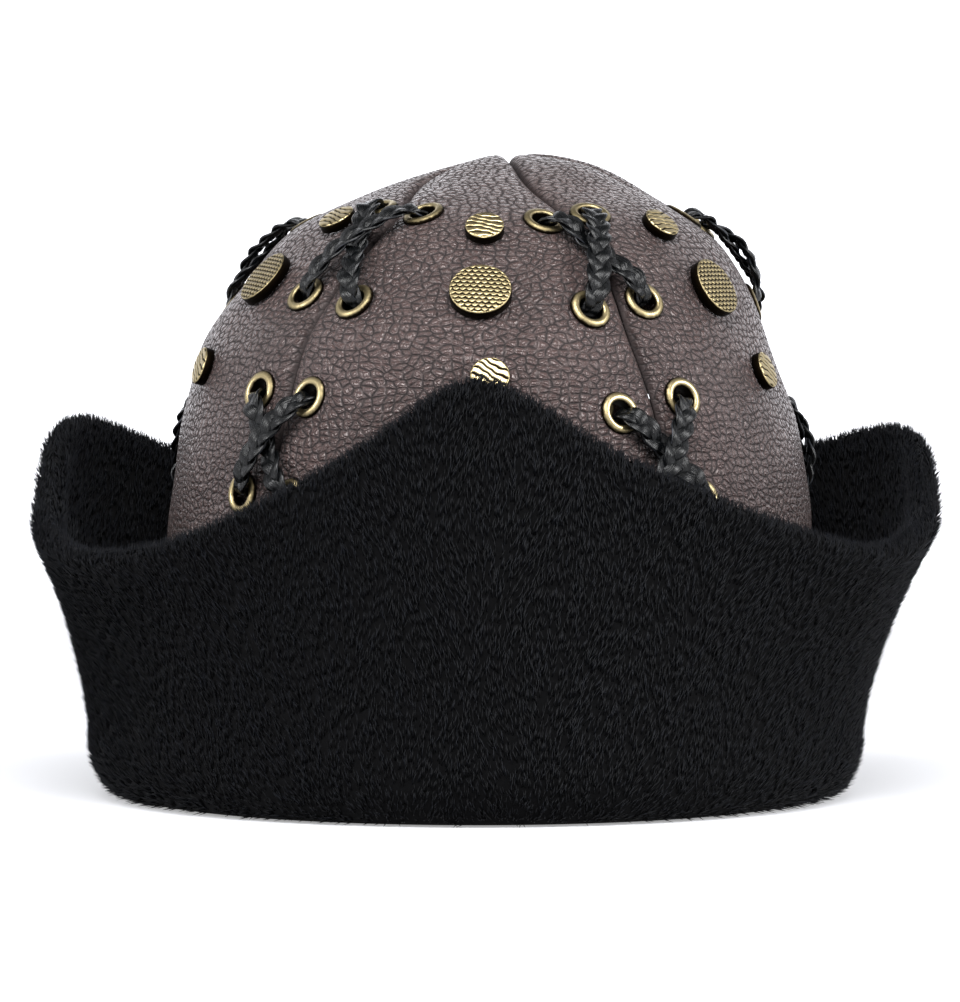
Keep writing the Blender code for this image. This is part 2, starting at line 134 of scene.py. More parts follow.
# The eyelet's section, closed: distance from its axis, height over the leather, how worn bright it
# is
EYELET_SECTION = (
    (3.35, -2.9, 0.2),
    (3.35, -1.6, 0.0),
    (3.35, -0.5, 0.05),
    (3.40, 0.1, 0.2),
    (3.55, 0.5, 0.45),
    (3.85, 0.78, 0.8),
    (4.3, 0.9, 1.0),
    (4.8, 0.84, 0.8),
    (5.3, 0.62, 0.6),
    (5.7, 0.3, 0.35),
    (5.88, -0.05, 0.1),
    (5.9, -0.4, 0.0),
    (5.5, -0.6, 0.0),
    (3.9, -0.7, 0.0),
    (3.9, -2.1, 0.0),
    (4.9, -2.1, 0.1),
    (5.0, -2.6, 0.4),
    (4.5, -3.0, 0.7),
    (3.8, -3.15, 0.6),
)
LACE_WIDTH = 6.8 * MM
STRAND_SWING = 1.15
STRAND_SINK = 0.62  # how far a strand dips under the next, as a share of its thickness
STRAND_TIP = 0.32  # radians
STRAND_SQUARE = 0.6  # 1 is an ellipse, 0 a rectangle
LACE_GRAIN = 5.0 * MM  # length of the strip's wrinkles
# Route of a lace through one eyelet, from outside to inside: distance from the eyelet's middle
# along the strand, height over the leather, width share
LACE_THROUGH = (
    (5.0, 3.0, 1.0),
    (2.2, 1.9, 0.86),
    (0.2, -0.8, 0.74),
    (1.4, -4.0, 0.8),
    (4.8, -5.6, 1.0),
)
# Between two eyelets: place along the strand, height of the under strand, height of the over
# strand.
LACE_ACROSS = (
    (0.36, 2.2, 4.6),
    (0.50, 2.0, 5.0),
    (0.64, 2.2, 4.6),
)

STUDS = (("top", "small"), ("middle", "big"), ("low", "small"))  # of a gore, from the top
# radius, thickness at the rim, how far the face is domed, rows of the face's grid
STUD_SIZES = {
    "small": (5.3 * MM, 2.5 * MM, 0.3 * MM, 48),
    "big": (8.4 * MM, 2.8 * MM, 0.3 * MM, 84),
}
STUD_LIFT = 0.3 * MM
STUD_RELIEF = 0.3 * MM
STUD_ROUNDING = 0.55 * MM

# Brim. Distances out are measured from the crown's lower edge.
BRIM_HOLE = -3.2 * MM
BASE_FLAT = (6.5 * MM, 12.5 * MM)
BASE_WALL = (19.2 * MM, 21.0 * MM)
BASE_FOLD = 17.0 * MM
BASE_SHIFT = 1.2 * MM
BASE_THICKNESS = 6.0 * MM
GAP_FLOOR = 3.5 * MM
GAP_RISE = 1.5 * MM
RIM_RADIUS = 4.4 * MM
# The rim's crest: azimuth, height, distance out, how late the wall flares (1 is straight)
RIM = (
    (-180.0, 84.0, 25.0, 1.3),
    (-155.0, 88.0, 27.0, 1.3),
    (-130.0, 97.5, 30.0, 1.3),
    (-107.0, 106.3, 35.0, 1.3),
    (-90.0, 88.3, 31.5, 1.4),
    (-74.0, 75.0, 32.0, 1.6),
    (-57.0, 70.0, 31.0, 1.8),
    (-45.0, 73.0, 27.0, 1.8),
    (-30.0, 84.0, 23.0, 1.6),
    (-15.0, 99.8, 20.5, 1.3),
    (-6.0, 112.0, 19.5, 1.3),
    (-1.0, 116.0, 19.5, 1.3),
    (6.0, 111.5, 19.5, 1.3),
    (15.0, 100.5, 20.5, 1.3),
    (30.0, 87.0, 23.5, 1.6),
    (45.0, 77.0, 27.5, 1.8),
    (58.0, 71.5, 31.5, 1.8),
    (74.0, 76.0, 34.0, 1.6),
    (90.0, 87.0, 35.5, 1.4),
    (107.0, 103.5, 40.0, 1.3),
    (130.0, 97.0, 32.0, 1.3),
    (155.0, 88.0, 27.0, 1.3),
)

# Pile. A hair leaves its root by these shares of the way out and of the way that the pile lies.
HAIR_OUT = 0.42
HAIR_ALONG = 0.85
OUT_SPREAD = 0.11
SIDE_SPREAD = 0.16
SWIRL = 0.12  # how far the pile's slow waves turn it sideways
SHORTEST = 0.65  # of the pile's length
LONGER = 0.5  # how much longer the longest are
RIM_TRIM = 0.3  # how much shorter the pile is where it stands up on the rim
# How light a hair is at its root, and at least at its tip: the lighter, bluish tips are dye and
# partly a painted sheen
ROOT_TONE = 0.2
TIP_TONE_AND_SHEEN = 0.25

# Stage
PHOTO_HEIGHT = 1002  # pixels
PHOTO_FOCUS = 4550  # focal length in the photo's pixels
SENSOR = 36.0  # mm
CAMERA_BACK = 1.3
CAMERA_HEIGHT = 0.101
CAMERA_DROP = 0.018  # how much lower it looks at the hat's middle
FLOOR_LEVEL = 3.0
FLOOR_BEND = 1.5
FLOOR_TOP = 6.0
# name, place, what it looks at, size, share of the softbox's power
LAMPS = (
    ("top", (0.0, -0.85, 1.0), (0.0, 0.0, 0.1), 0.7, 1.0),
    ("left", (-1.2, -0.6, 0.6), (0.0, 0.0, 0.1), 0.5, 0.5),
    ("right", (1.25, -0.5, 0.6), (0.0, 0.0, 0.1), 0.5, 0.65),
    ("backdrop", (0.0, 2.6, 2.2), (0.0, 4.4, 0.5), 1.6, 7.0),
)


def linear(colour):
    """A colour's linear red, green and blue from its sRGB hex value."""
    shares = [int(colour[i : i + 2], 16) / 255 for i in (0, 2, 4)]
    return tuple(x / 12.92 if x <= 0.04045 else ((x + 0.055) / 1.055) ** 2.4 for x in shares)


def colour_property(name, description, colour):
    return FloatVectorProperty(
        name=name, description=description, default=linear(colour), subtype="COLOR", min=0, max=1
    )


def size_property(name, description, size):
    return FloatProperty(
        name=name, description=description, default=size, unit="LENGTH", subtype="DISTANCE"
    )


class BORK_PG_leather(bpy.types.PropertyGroup):
    face: colour_property("Face", "Dye on the tops of the pebbles", "4A3D3B")
    # painted shade: this dark colour stands for the shade that falls down in the grain's creases
    crease_shade: colour_property("Crease", "Dye down in the creases", "0C0505")
    pebble: size_property("Pebble", "Distance between pebbles of the grain", 2.5 * MM)
    relief: size_property("Relief", "Depth of the grain's creases", 0.6 * MM)


class BORK_PG_brass(bpy.types.PropertyGroup):
    # on the studs the bright is also a painted highlight on the fish scales, and the dark also
    # painted shade on their sides
    bright: colour_property("Bright", "Brass where handling has kept it bright", "B4A47C")
    dark: colour_property("Dark", "Antiquing left in the recesses", "120D07")
    eyelet_sides: IntProperty(
        name="Eyelet Sides", description="Sides that each eyelet is turned with", default=40, min=12
    )


class BORK_PG_lace(bpy.types.PropertyGroup):
    strand: colour_property("Strand", "Colour of the lace's strands", "050607")
    scuff: colour_property("Scuff", "Colour of the strands' scuffed edges", "565962")
    pitch: size_property("Pitch", "Length in which one strand crosses over and back", 18.0 * MM)
    strand_width: size_property("Strand Width", "Width of one strand of the braid", 3.8 * MM)
    strand_thickness: size_property("Strand Thickness", "Thickness of one strand", 1.0 * MM)


class BORK_PG_fur(bpy.types.PropertyGroup):
    root: colour_property("Root", "Colour of the pile at its roots", "030304")
    # the tips' bluish colour is partly a painted sheen of the pile
    tip: colour_property("Tip", "Colour of the lightest hairs", "10131A")
    length: size_property("Length", "Length of the pile", 3.9 * MM)
    thickness: size_property("Thickness", "Thickness of a drawn hair at its root", 0.4 * MM)
    hairs: IntProperty(name="Hairs", description="Hairs drawn in all", default=120000, min=1000)


class BORK_PG_stage(bpy.types.PropertyGroup):
    floor: colour_property("Floor", "Colour of the floor", "BEBFC3")
    glow: FloatProperty(name="Glow", description="How strongly the floor glows", default=0.35)
    sky: FloatProperty(name="Sky", description="Strength of the light from all round", default=0.1)
    softbox: FloatProperty(name="Softbox", description="Watts of the top softbox", default=24.0)


def smooth(knots, values, at):
    """The values at the places asked for, on cubic curves through a table's rows, each as steep at
    its ends as the straight line between the rows on either side."""
    slopes = np.gradient(values, knots, axis=0)
    row = np.clip(np.searchsorted(knots, at, side="right") - 1, 0, len(knots) - 2)
    span = (knots[row + 1] - knots[row])[..., None]
    u = (at - knots[row])[..., None] / span
    start, end = values[row], values[row + 1]
    rise, fall = slopes[row] * span, slopes[row + 1] * span
    return (
        start * (1 + 2 * u) * (1 - u) ** 2
        + end * u**2 * (3 - 2 * u)
        + rise * u * (1 - u) ** 2
        - fall * u**2 * (1 - u)
    )


def unit(vectors):
    """The vectors at length 1."""
    return vectors / np.maximum(np.linalg.norm(vectors, axis=-1, keepdims=True), 1e-12)


def crown_profile():
    """Distances along the crown's profile, from 0 at the sewn edge to 1 at the apex, and its
    sections there. The row past the apex mirrors the one before it, so that the top is level."""
    rows = np.array(CROWN_SECTIONS) * (MM, HALF_WIDTH, MM, MM)
    past = rows[-2] * (1, -1, 1, 1)
    past[2:] = 2 * rows[-1, 2:] - rows[-2, 2:]
    rows = np.vstack([rows, past])
    steps = np.hypot(np.diff(rows[:, 0]), np.diff(rows[:, 1]))
    along = np.concatenate([[0.0], np.cumsum(steps)])
    return along / along[-2], rows


PROFILE_ALONG, PROFILE_ROWS = crown_profile()


def seam_azimuth(seam, up):
    """The seam's azimuth in degrees at a share of the way up the profile."""
    turn, index = divmod(seam, len(SEAMS))
    azimuths = np.array(SEAMS[index][1])[:, None]
    return smooth(np.array(SEAM_KNOTS), azimuths, up)[..., 0] + 360.0 * turn


def gore_width(gore, up):
    """The gore's width along the leather at a share of the way up."""
    left, right = seam_azimuth(gore, up), seam_azimuth(gore + 1, up)
    middle = np.radians((left + right) / 2)
    girth = smooth(PROFILE_ALONG, PROFILE_ROWS, up)[..., 1] / HALF_WIDTH
    metric = np.hypot(HALF_WIDTH * np.cos(middle), HALF_DEPTH * np.sin(middle))
    return np.maximum(girth * metric * np.radians(right - left), LEAST_WIDTH)


def crown_point(gore, across, up, tuck=0.0):
    """A point on the leather's outer face: an ellipse of the profile's half-width at that height,
    moved by its lean, puffed out by puff * sqrt(sin(pi up)) * (1 - across^2)^0.7, and pulled in at
    the seams by dip * exp(-(distance / reach)^2), and by the tuck in the same way with its own
    reach."""
    across, up = np.broadcast_arrays(np.asarray(across, float), np.asarray(up, float))
    height, radius, lean, forward = np.moveaxis(smooth(PROFILE_ALONG, PROFILE_ROWS, up), -1, 0)
    left, right = seam_azimuth(gore, up), seam_azimuth(gore + 1, up)
    azimuth = np.radians(left + (right - left) * (across + 1) / 2)
    above = smooth(PROFILE_ALONG, PROFILE_ROWS, np.minimum(up + PROFILE_STEP, 1.0))
    rise = above[..., 0] - height
    narrowing = radius - above[..., 1]
    steepness = np.maximum(np.hypot(rise, narrowing), 1e-9)
    puff = GORES[gore % len(GORES)][1] * MM
    puff = puff * np.sqrt(np.clip(np.sin(np.pi * up), 0, 1)) * (1 - across**2) ** PUFF_SHAPE
    from_seam = (1 - np.abs(across)) * gore_width(gore, up) / 2
    dip = SEAM_DIP * np.exp(-((from_seam / SEAM_DIP_REACH) ** 2))
    dip = dip * np.minimum(1, up / SEAM_DIP_FULL_AT)
    dip = dip + tuck * np.exp(-((from_seam / SEAM_TUCK_REACH) ** 2))
    out = (puff - dip) * rise / steepness
    raised = (puff - dip) * narrowing / steepness
    depth = radius * HALF_DEPTH / HALF_WIDTH
    return np.stack(
        [
            lean + (radius + out) * np.sin(azimuth),
            -forward - (depth + out) * np.cos(azimuth),
            height + raised,
        ],
        axis=-1,
    )


def crown_frame(gore, across, up):
    """The point, and the unit vectors to the right, up along the leather and out of it."""
    point = crown_point(gore, across, up)
    right = crown_point(gore, across + FRAME_STEP, up) - crown_point(gore, across - FRAME_STEP, up)
    rise = crown_point(gore, across, up + FRAME_STEP) - crown_point(gore, across, up - FRAME_STEP)
    out = unit(np.cross(right, rise))
    rise = unit(rise)
    return point, np.cross(rise, out), rise, out


def up_at_height(gore, across, height):
    """How far up the profile the leather reaches a height."""
    ups = np.linspace(0.0, 1.0, 200)
    heights = crown_point(gore, np.full_like(ups, across), ups)[:, 2]
    top = int(np.argmax(heights))
    return float(np.interp(height, heights[: top + 1], ups[: top + 1]))


def eyelet_frame(seam, side, cross, pair):
    """The frame of the eyelet on the left (-1) or right (1) of a seam, in a cross's upper (1) or
    lower (2) pair."""
    gore = seam - 1 if side < 0 else seam
    height, inset = cross[pair]
    shifts = EYELET_SHIFTS.get((SEAMS[seam % len(SEAMS)][0], cross[0]))
    if shifts:
        raised, farther = shifts[0 if side < 0 else 1]
        height, inset = height + raised, inset + farther
    up = up_at_height(gore, -EYELET_ACROSS * side, height * MM)
    across = -side * (1 - 2 * inset * MM / float(gore_width(gore, np.array(up))))
    return crown_frame(gore, across, up)


def gore_eyelets(gore):
    """The frames of the eight eyelets of a gore."""
    pairs = [(cross, pair) for cross in CROSSES for pair in (1, 2)]
    return [eyelet_frame(gore + side, 1 - 2 * side, *pair) for side in (0, 1) for pair in pairs]


def gore_studs(gore):
    """The frames of a gore's three studs, each with its size."""
    return [
        (crown_frame(gore, across, up_at_height(gore, across, height * MM)), size)
        for (_, size), (height, across) in zip(STUDS, GORES[gore][2])
    ]


def placed(frame_at, points):
    """Points given to the right of, up from and out of a frame's point, where the frame puts
    them."""
    point, right, rise, out = frame_at
    return point + points @ np.stack([right, rise, out])


def grid_normals(points, turns=(False, False)):
    """Unit normals of a grid, from the cross product of its slopes along columns and rows. A
    direction that turns full circle has its slopes taken across the join."""
    padded = points
    for axis, turn in enumerate(turns):
        width = [(0, 0)] * 3
        width[axis] = (1, 1)
        padded = np.pad(padded, width, mode="wrap") if turn else padded
    down, along = (np.gradient(padded, axis=axis) for axis in (0, 1))
    normals = unit(np.cross(along, down))
    for axis, turn in enumerate(turns):
        normals = np.delete(normals, [0, -1], axis=axis) if turn else normals
    return normals


def grid_faces(rows, columns, closed=(False, False)):
    """The quads of a grid of points, each from one row to the next. A closed direction joins its
    end to its start."""
    index = np.arange(rows * columns).reshape(rows, columns)
    index = np.pad(index, ((0, int(closed[0])), (0, int(closed[1]))), mode="wrap")
    corners = (index[:-1, :-1], index[:-1, 1:], index[1:, 1:], index[1:, :-1])
    return np.stack(corners, axis=-1).reshape(-1, 4)


def slab(outer, inner, kept):
    """Points, quads and the grids' points used of a closed sheet between two grids of one size. The
    cells marked in kept stay, and the edges of what stays are closed by quads between the two
    grids."""
    count = outer.shape[0] * outer.shape[1]
    top = grid_faces(*outer.shape[:2])[kept.ravel()]
    under = top[:, ::-1] + count
    edges = np.concatenate([top[:, [i, (i + 1) % 4]] for i in range(4)])
    code = edges[:, 0] * count + edges[:, 1]
    back = edges[:, 1] * count + edges[:, 0]
    rim = edges[~np.isin(code, back)]
    walls = np.column_stack([rim[:, 1], rim[:, 0], rim[:, 0] + count, rim[:, 1] + count])
    points = np.concatenate([outer.reshape(-1, 3), inner.reshape(-1, 3)])
    faces = np.concatenate([top, under, walls])
    used, compact = np.unique(faces, return_inverse=True)
    return points[used], compact.reshape(-1, 4), used


def make_piece(name, points, faces, material, slot, nodes, values=None, uv=None):
    """A piece in its place, riding on the hat's body. values and uv are kept on it for its
    material."""
    mesh = bpy.data.meshes.new(name)
    mesh.vertices.add(len(points))
    mesh.vertices.foreach_set("co", (points - HAT_MIDDLE).astype(np.float32).ravel())
    mesh.loops.add(faces.size)
    mesh.loops.foreach_set("vertex_index", faces.astype(np.int32).ravel())
    mesh.polygons.add(len(faces))
    starts = np.arange(0, faces.size, faces.shape[1], dtype=np.int32)
    mesh.polygons.foreach_set("loop_start", starts)
    mesh.update(calc_edges=True)
    mesh.shade_smooth()
    if uv is not None:
        layer = mesh.uv_layers.new(name="grain")
        layer.data.foreach_set("uv", uv[faces.ravel()].astype(np.float32).ravel())
    for key, column in (values or {}).items():
        attribute = mesh.attributes.new(key, "FLOAT", "POINT")
        attribute.data.foreach_set("value", column.astype(np.float32).ravel())
    mesh.materials.append(material)
    piece = bpy.data.objects.new(name, mesh)
    bpy.context.scene.collection.objects.link(piece)
    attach(piece, "root")
    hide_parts(*nodes)
    return piece


def join_shapes(shapes):
    """One set of points and faces from several, with their values one after another."""
    starts = np.cumsum([0, *[len(points) for points, _, _ in shapes[:-1]]])
    points = np.concatenate([points for points, _, _ in shapes])
    faces = np.concatenate([faces + start for (_, faces, _), start in zip(shapes, starts)])
    return points, faces, np.concatenate([values for _, _, values in shapes])


def add_node(tree, kind, inputs=None, out=0, **settings):
    """Adds a node with its settings, and returns the output asked for. A socket given for an input
    is linked to it, and any other value is set."""
    made = tree.nodes.new(f"ShaderNode{kind}")
    for name, value in settings.items():
        setattr(made, name, value)
    for name, value in (inputs or {}).items():
        if isinstance(value, bpy.types.NodeSocket):
            tree.links.new(value, made.inputs[name])
        else:
            made.inputs[name].default_value = value
    return made.outputs[out]


def new_material(name, **looks):
    """A material and its nodes, with what is the same all over it set on its Principled shader."""
    material = bpy.data.materials.new(name)
    material.use_nodes = True
    shader = material.node_tree.nodes["Principled BSDF"]
    for key, value in looks.items():
        shader.inputs[key.replace("_", " ")].default_value = value
    return material, material.node_tree


def link_looks(tree, **looks):
    """Links sockets to the inputs of those names on the Principled shader."""
    for key, socket in looks.items():
        tree.links.new(socket, tree.nodes["Principled BSDF"].inputs[key.replace("_", " ")])


def shade(colour):
    """A colour with its alpha."""
    return (*tuple(colour)[:3], 1.0)


def leather_material(looks):
    """Embossed, spray-finished leather: polygonal pebbles between creases, some of them faint,
    glossier on the pebbles' tops, and smooth where it is folded into a seam. The creases' dark
    colour and the darkening in the seam's fold are painted shade."""
    material, tree = new_material(
        "embossed leather", IOR=1.5, Specular_IOR_Level=0.5, Specular_Tint=(1.0, 0.93, 0.92, 1.0)
    )
    place = add_node(tree, "UVMap", uv_map="grain")
    # pebbles are wider than they are high
    place = add_node(tree, "Mapping", {"Vector": place, "Scale": (0.92, 1.18, 1.0)})
    fold = add_node(tree, "Attribute", out="Fac", attribute_name="fold")
    # The creases wander, over 13 mm and over 3 mm. Each warp has its waves in a metre, and how far
    # it moves the pattern.
    bent = place
    for scale, shift in ((75.0, 4.0 * MM), (330.0, 1.1 * MM)):
        warp = add_node(tree, "TexNoise", {"Vector": place, "Scale": scale, "Detail": 1.0}, "Color")
        middle = add_node(tree, "VectorMath", {0: warp, 1: (0.5, 0.5, 0.5)}, operation="SUBTRACT")
        moved = {0: middle, 1: (shift, shift, 0.0), 2: bent}
        bent = add_node(tree, "VectorMath", moved, operation="MULTIPLY_ADD")
    # Large pebbles and the faint creases that part some of them: size, how far up a pebble its
    # slope reaches, how wide the crease's dark line of painted shade is, and how much of the crease
    # is left out
    heights, shade_lines = [], []
    for size, reach, line, floor in ((1.0, 0.42, 0.25, 0.0), (0.55, 0.34, 0.16, 0.55)):
        cells = add_node(
            tree,
            "TexVoronoi",
            {"Vector": bent, "Scale": 1 / (looks.pebble * size), "Randomness": 0.8},
            "Distance",
            feature="DISTANCE_TO_EDGE",
            voronoi_dimensions="2D",
        )
        dark = {"Value": cells, "From Max": line, "To Min": floor}
        shade_lines.append(add_node(tree, "MapRange", dark, interpolation_type="SMOOTHSTEP"))
        slope = {"Value": cells, "From Max": reach, "To Min": floor, "To Max": math.pi / 2}
        slope = add_node(tree, "MapRange", slope)
        heights.append(add_node(tree, "Math", {0: slope}, operation="SINE"))
    height = add_node(tree, "Math", dict(enumerate(heights)), operation="MULTIPLY")
    line = add_node(tree, "Math", dict(enumerate(shade_lines)), operation="MULTIPLY")
    # pores under 0.5 mm apart
    pores = add_node(tree, "TexNoise", {"Vector": place, "Scale": 2200.0, "Detail": 3.0})
    height = add_node(tree, "Math", {0: pores, 1: 0.2, 2: height}, operation="MULTIPLY_ADD")
    smoothed = add_node(tree, "Math", {0: 1.0, 1: fold}, operation="SUBTRACT")
    height = add_node(tree, "Math", {0: height, 1: smoothed}, operation="MULTIPLY")
    # creases are fainter in patches of 2 to 3 mm
    faint = add_node(tree, "TexNoise", {"Vector": place, "Scale": 420.0, "Detail": 1.0})
    faint = add_node(tree, "MapRange", {"Value": faint, "From Min": 0.2, "From Max": 0.5})
    # painted shade: the crease share darkens the leather towards the crease colour, for the shade
    # down in the creases
    crease_shade = add_node(tree, "Math", {0: 1.0, 1: line}, operation="SUBTRACT")
    crease_shade = add_node(tree, "Math", {0: crease_shade, 1: faint}, operation="MULTIPLY")
    # painted shade in the seam's valley: the leather takes the crease colour where it folds into
    # the seam
    seam_shade = add_node(tree, "Math", {0: fold, 1: 0.9}, operation="MULTIPLY")
    crease_shade = add_node(tree, "Math", {0: crease_shade, 1: seam_shade}, operation="MAXIMUM")
    dye_and_shade = {"Factor": crease_shade, 6: shade(looks.face), 7: shade(looks.crease_shade)}
    face = add_node(tree, "Mix", dye_and_shade, 2, data_type="RGBA")
    # the dye is cloudy over 25 mm
    cloudy = add_node(tree, "TexNoise", {"Vector": place, "Scale": 40.0, "Detail": 3.0})
    tone = {"Value": cloudy, "From Min": 0.3, "From Max": 0.7, "To Min": 0.82, "To Max": 1.15}
    tone = add_node(tree, "MapRange", tone)
    grain = {"Height": height, "Distance": looks.relief, "Strength": 1.0}
    link_looks(
        tree,
        Base_Color=add_node(tree, "VectorMath", {0: face, "Scale": tone}, operation="SCALE"),
        Roughness=add_node(tree, "MapRange", {"Value": crease_shade, "To Min": 0.2, "To Max": 0.85}),
        Normal=add_node(tree, "Bump", grain),
    )
    return material


def brass_material(looks):
    """Stamped brass, blackened and then rubbed back: dark and dull in the recesses, bright on the
    high places, with fine scratches. On the studs the bright also stands as a painted highlight
    along each fish scale's lower edge, and the dark as painted shade down their rounded edges and
    sides."""
    material, tree = new_material("antiqued brass", Metallic=1.0)
    place = add_node(tree, "TexCoord", out="Object")
    # tarnish in blotches of 1 mm, and scratches 0.4 mm apart
    blotch = add_node(tree, "TexNoise", {"Vector": place, "Scale": 900.0, "Detail": 4.0})
    # antiquing rubbed off the high places, and on the studs also painted highlight and painted
    # shade
    wear_and_painted_light = add_node(tree, "Attribute", out="Fac", attribute_name="wear")
    share = add_node(tree, "Math", {0: blotch, 1: 0.5, 2: wear_and_painted_light}, operation="MULTIPLY_ADD")
    share = add_node(tree, "MapRange", {"Value": share, "From Min": 0.55, "From Max": 1.15})
    scratch = add_node(tree, "TexNoise", {"Vector": place, "Scale": 2600.0, "Detail": 2.0})
    tarnish_and_light = {"Factor": share, 6: shade(looks.dark), 7: shade(looks.bright)}
    link_looks(
        tree,
        Base_Color=add_node(tree, "Mix", tarnish_and_light, 2, data_type="RGBA"),
        Roughness=add_node(tree, "MapRange", {"Value": share, "To Min": 0.62, "To Max": 0.32}),
        Normal=add_node(tree, "Bump", {"Height": scratch, "Distance": 0.03 * MM, "Strength": 1.0}),
    )
    return material


def lace_material(looks):
    """Waxed black leather strip, cut and plaited: glossy faces with fine wrinkles along the strip,
    scuffed paler along the cut edges."""
    material, tree = new_material("waxed leather strip", IOR=1.5, Specular_IOR_Level=0.27)
    along, around, edge = (
        add_node(tree, "Attribute", out="Fac", attribute_name=name)
        for name in ("along", "around", "wear")
    )
    # wrinkles about 4 mm long and 0.8 mm apart
    spread = add_node(tree, "CombineXYZ", {"X": along, "Y": around})
    crackle = add_node(tree, "TexNoise", {"Vector": spread, "Scale": 1.3, "Detail": 3.0})
    share = add_node(tree, "Math", {0: crackle, 1: edge}, operation="MULTIPLY")
    share = {"Value": share, "From Min": 0.5, "From Max": 0.75, "To Max": 0.8}
    share = add_node(tree, "MapRange", share)
    scuffed = {"Factor": share, 6: shade(looks.strand), 7: shade(looks.scuff)}
    link_looks(
        tree,
        Base_Color=add_node(tree, "Mix", scuffed, 2, data_type="RGBA"),
        Roughness=add_node(tree, "MapRange", {"Value": crackle, "To Min": 0.15, "To Max": 0.42}),
        Normal=add_node(tree, "Bump", {"Height": crackle, "Distance": 0.2 * MM, "Strength": 1.0}),
    )
    return material


def fur_material(looks):
    """Dyed short pile: near black and barely glossy, each hair a little lighter to its tip, where
    the bluish tone is partly a painted sheen, and some hairs lighter than others."""
    material, tree = new_material("dyed short pile", Roughness=0.55, Specular_IOR_Level=0.12)
    tone = add_node(tree, "Attribute", out="Fac", attribute_name="tone")
    dyed = {"Factor": tone, 6: shade(looks.root), 7: shade(looks.tip)}
    link_looks(tree, Base_Color=add_node(tree, "Mix", dyed, 2, data_type="RGBA"))
    return material


def backing_material(looks):
    """The pile's knitted backing, dyed with it: it only shows as dull black between the hairs."""
    material, tree = new_material("dyed knitted backing", Roughness=0.95, Specular_IOR_Level=0.1)
    place = add_node(tree, "TexCoord", out="Object")
    # stitches 0.7 mm apart
    knit = add_node(tree, "TexNoise", {"Vector": place, "Scale": 1500.0})
    dim = add_node(tree, "MapRange", {"Value": knit, "To Min": 0.5, "To Max": 1.2})
    dyed = {0: tuple(looks.root), "Scale": dim}
    link_looks(tree, Base_Color=add_node(tree, "VectorMath", dyed, operation="SCALE"))
    return material


def pressed(points, frames, depth, reach):
    """How deep each point lies in the hollows pressed by what sits on the frames: depth *
    exp(-(distance / reach)^2)."""
    found = np.zeros(points.shape[:-1])
    for centre in frames:
        away = np.linalg.norm(points - centre[0], axis=-1)
        found = found + depth * np.exp(-((away / reach) ** 2))
    return found


def gore_grid(gore, rows=130, columns=51):
    """The leather's outer face on a grid from seam to seam, denser towards the seams, with its
    grain map in metres, and how much of it is folded into the seam, as exp(-(distance / reach)^2).
    It is rumpled by the sum of three slow sine waves, which die out at the seams and the apex."""
    end = float(np.interp(-APEX_GAP, -PROFILE_ROWS[:-1, 1], PROFILE_ALONG[:-1]))
    ups = np.linspace(0.0, end, rows)[:, None]
    place = np.linspace(-1.0, 1.0, columns)
    spread = np.sign(place) * (1 - (1 - np.abs(place)) ** SEAM_CROWDING)
    width = gore_width(gore, ups)
    across = spread[None, :] * (1 - SEAM_GAP / width)
    points = crown_point(gore, across, ups, SEAM_TUCK)
    normals = grid_normals(points)
    x, y = across * width / 2 / MM, ups * PROFILE_LENGTH / MM
    rumple = (
        np.sin(0.11 * y + 0.03 * x + gore)
        + np.sin(0.23 * y - 0.09 * x + 2.1 * gore)
        + np.sin(0.17 * x + 0.05 * y + 1.3 * gore)
    )
    inside = np.clip((1 - np.abs(across)) * 4, 0, 1) * np.clip(6 * (1 - ups), 0, 1)
    lift = RUMPLE * rumple * inside
    lift = lift - pressed(points, gore_eyelets(gore), *EYELET_PRESS)
    lift = lift - pressed(points, [found for found, _ in gore_studs(gore)], *STUD_PRESS)
    points = points + normals * lift[..., None]
    grain = np.stack([across * width / 2 + 0.3 * gore, ups * PROFILE_LENGTH + 0 * across], axis=-1)
    fold = np.exp(-(((1 - np.abs(across)) * width / 2 / FOLD_REACH) ** 2))
    return points, grain, fold


PROFILE_LENGTH = float(np.hypot(np.diff(PROFILE_ROWS[:-1, 0]), np.diff(PROFILE_ROWS[:-1, 1])).sum())


class BORK_OT_gores(bpy.types.Operator):
    """Make the six leather gores of the crown"""

    bl_idname = "bork.gores"
    bl_label = "Gores"

    def execute(self, context):
        material = leather_material(context.scene.bork_leather)
        for gore, (name, *_) in enumerate(GORES):
            outer, grain, fold = gore_grid(gore)
            inner = outer - grid_normals(outer) * LEATHER
            centres = (outer[:-1, :-1] + outer[1:, 1:] + outer[1:, :-1] + outer[:-1, 1:]) / 4
            kept = np.ones(centres.shape[:2], bool)
            for centre in gore_eyelets(gore):
                kept &= np.linalg.norm(centres - centre[0], axis=-1) > EYELET_CUT
            points, faces, used = slab(outer, inner, kept)
            grain = np.concatenate([grain.reshape(-1, 2)] * 2)[used]
            values = {"fold": np.concatenate([fold.ravel()] * 2)[used]}
            shape, nodes = (f"leather_{name}", points, faces), [f"gore_{name}"]
            make_piece(*shape, material, "brown_leather", nodes, values, grain)
        return {"FINISHED"}


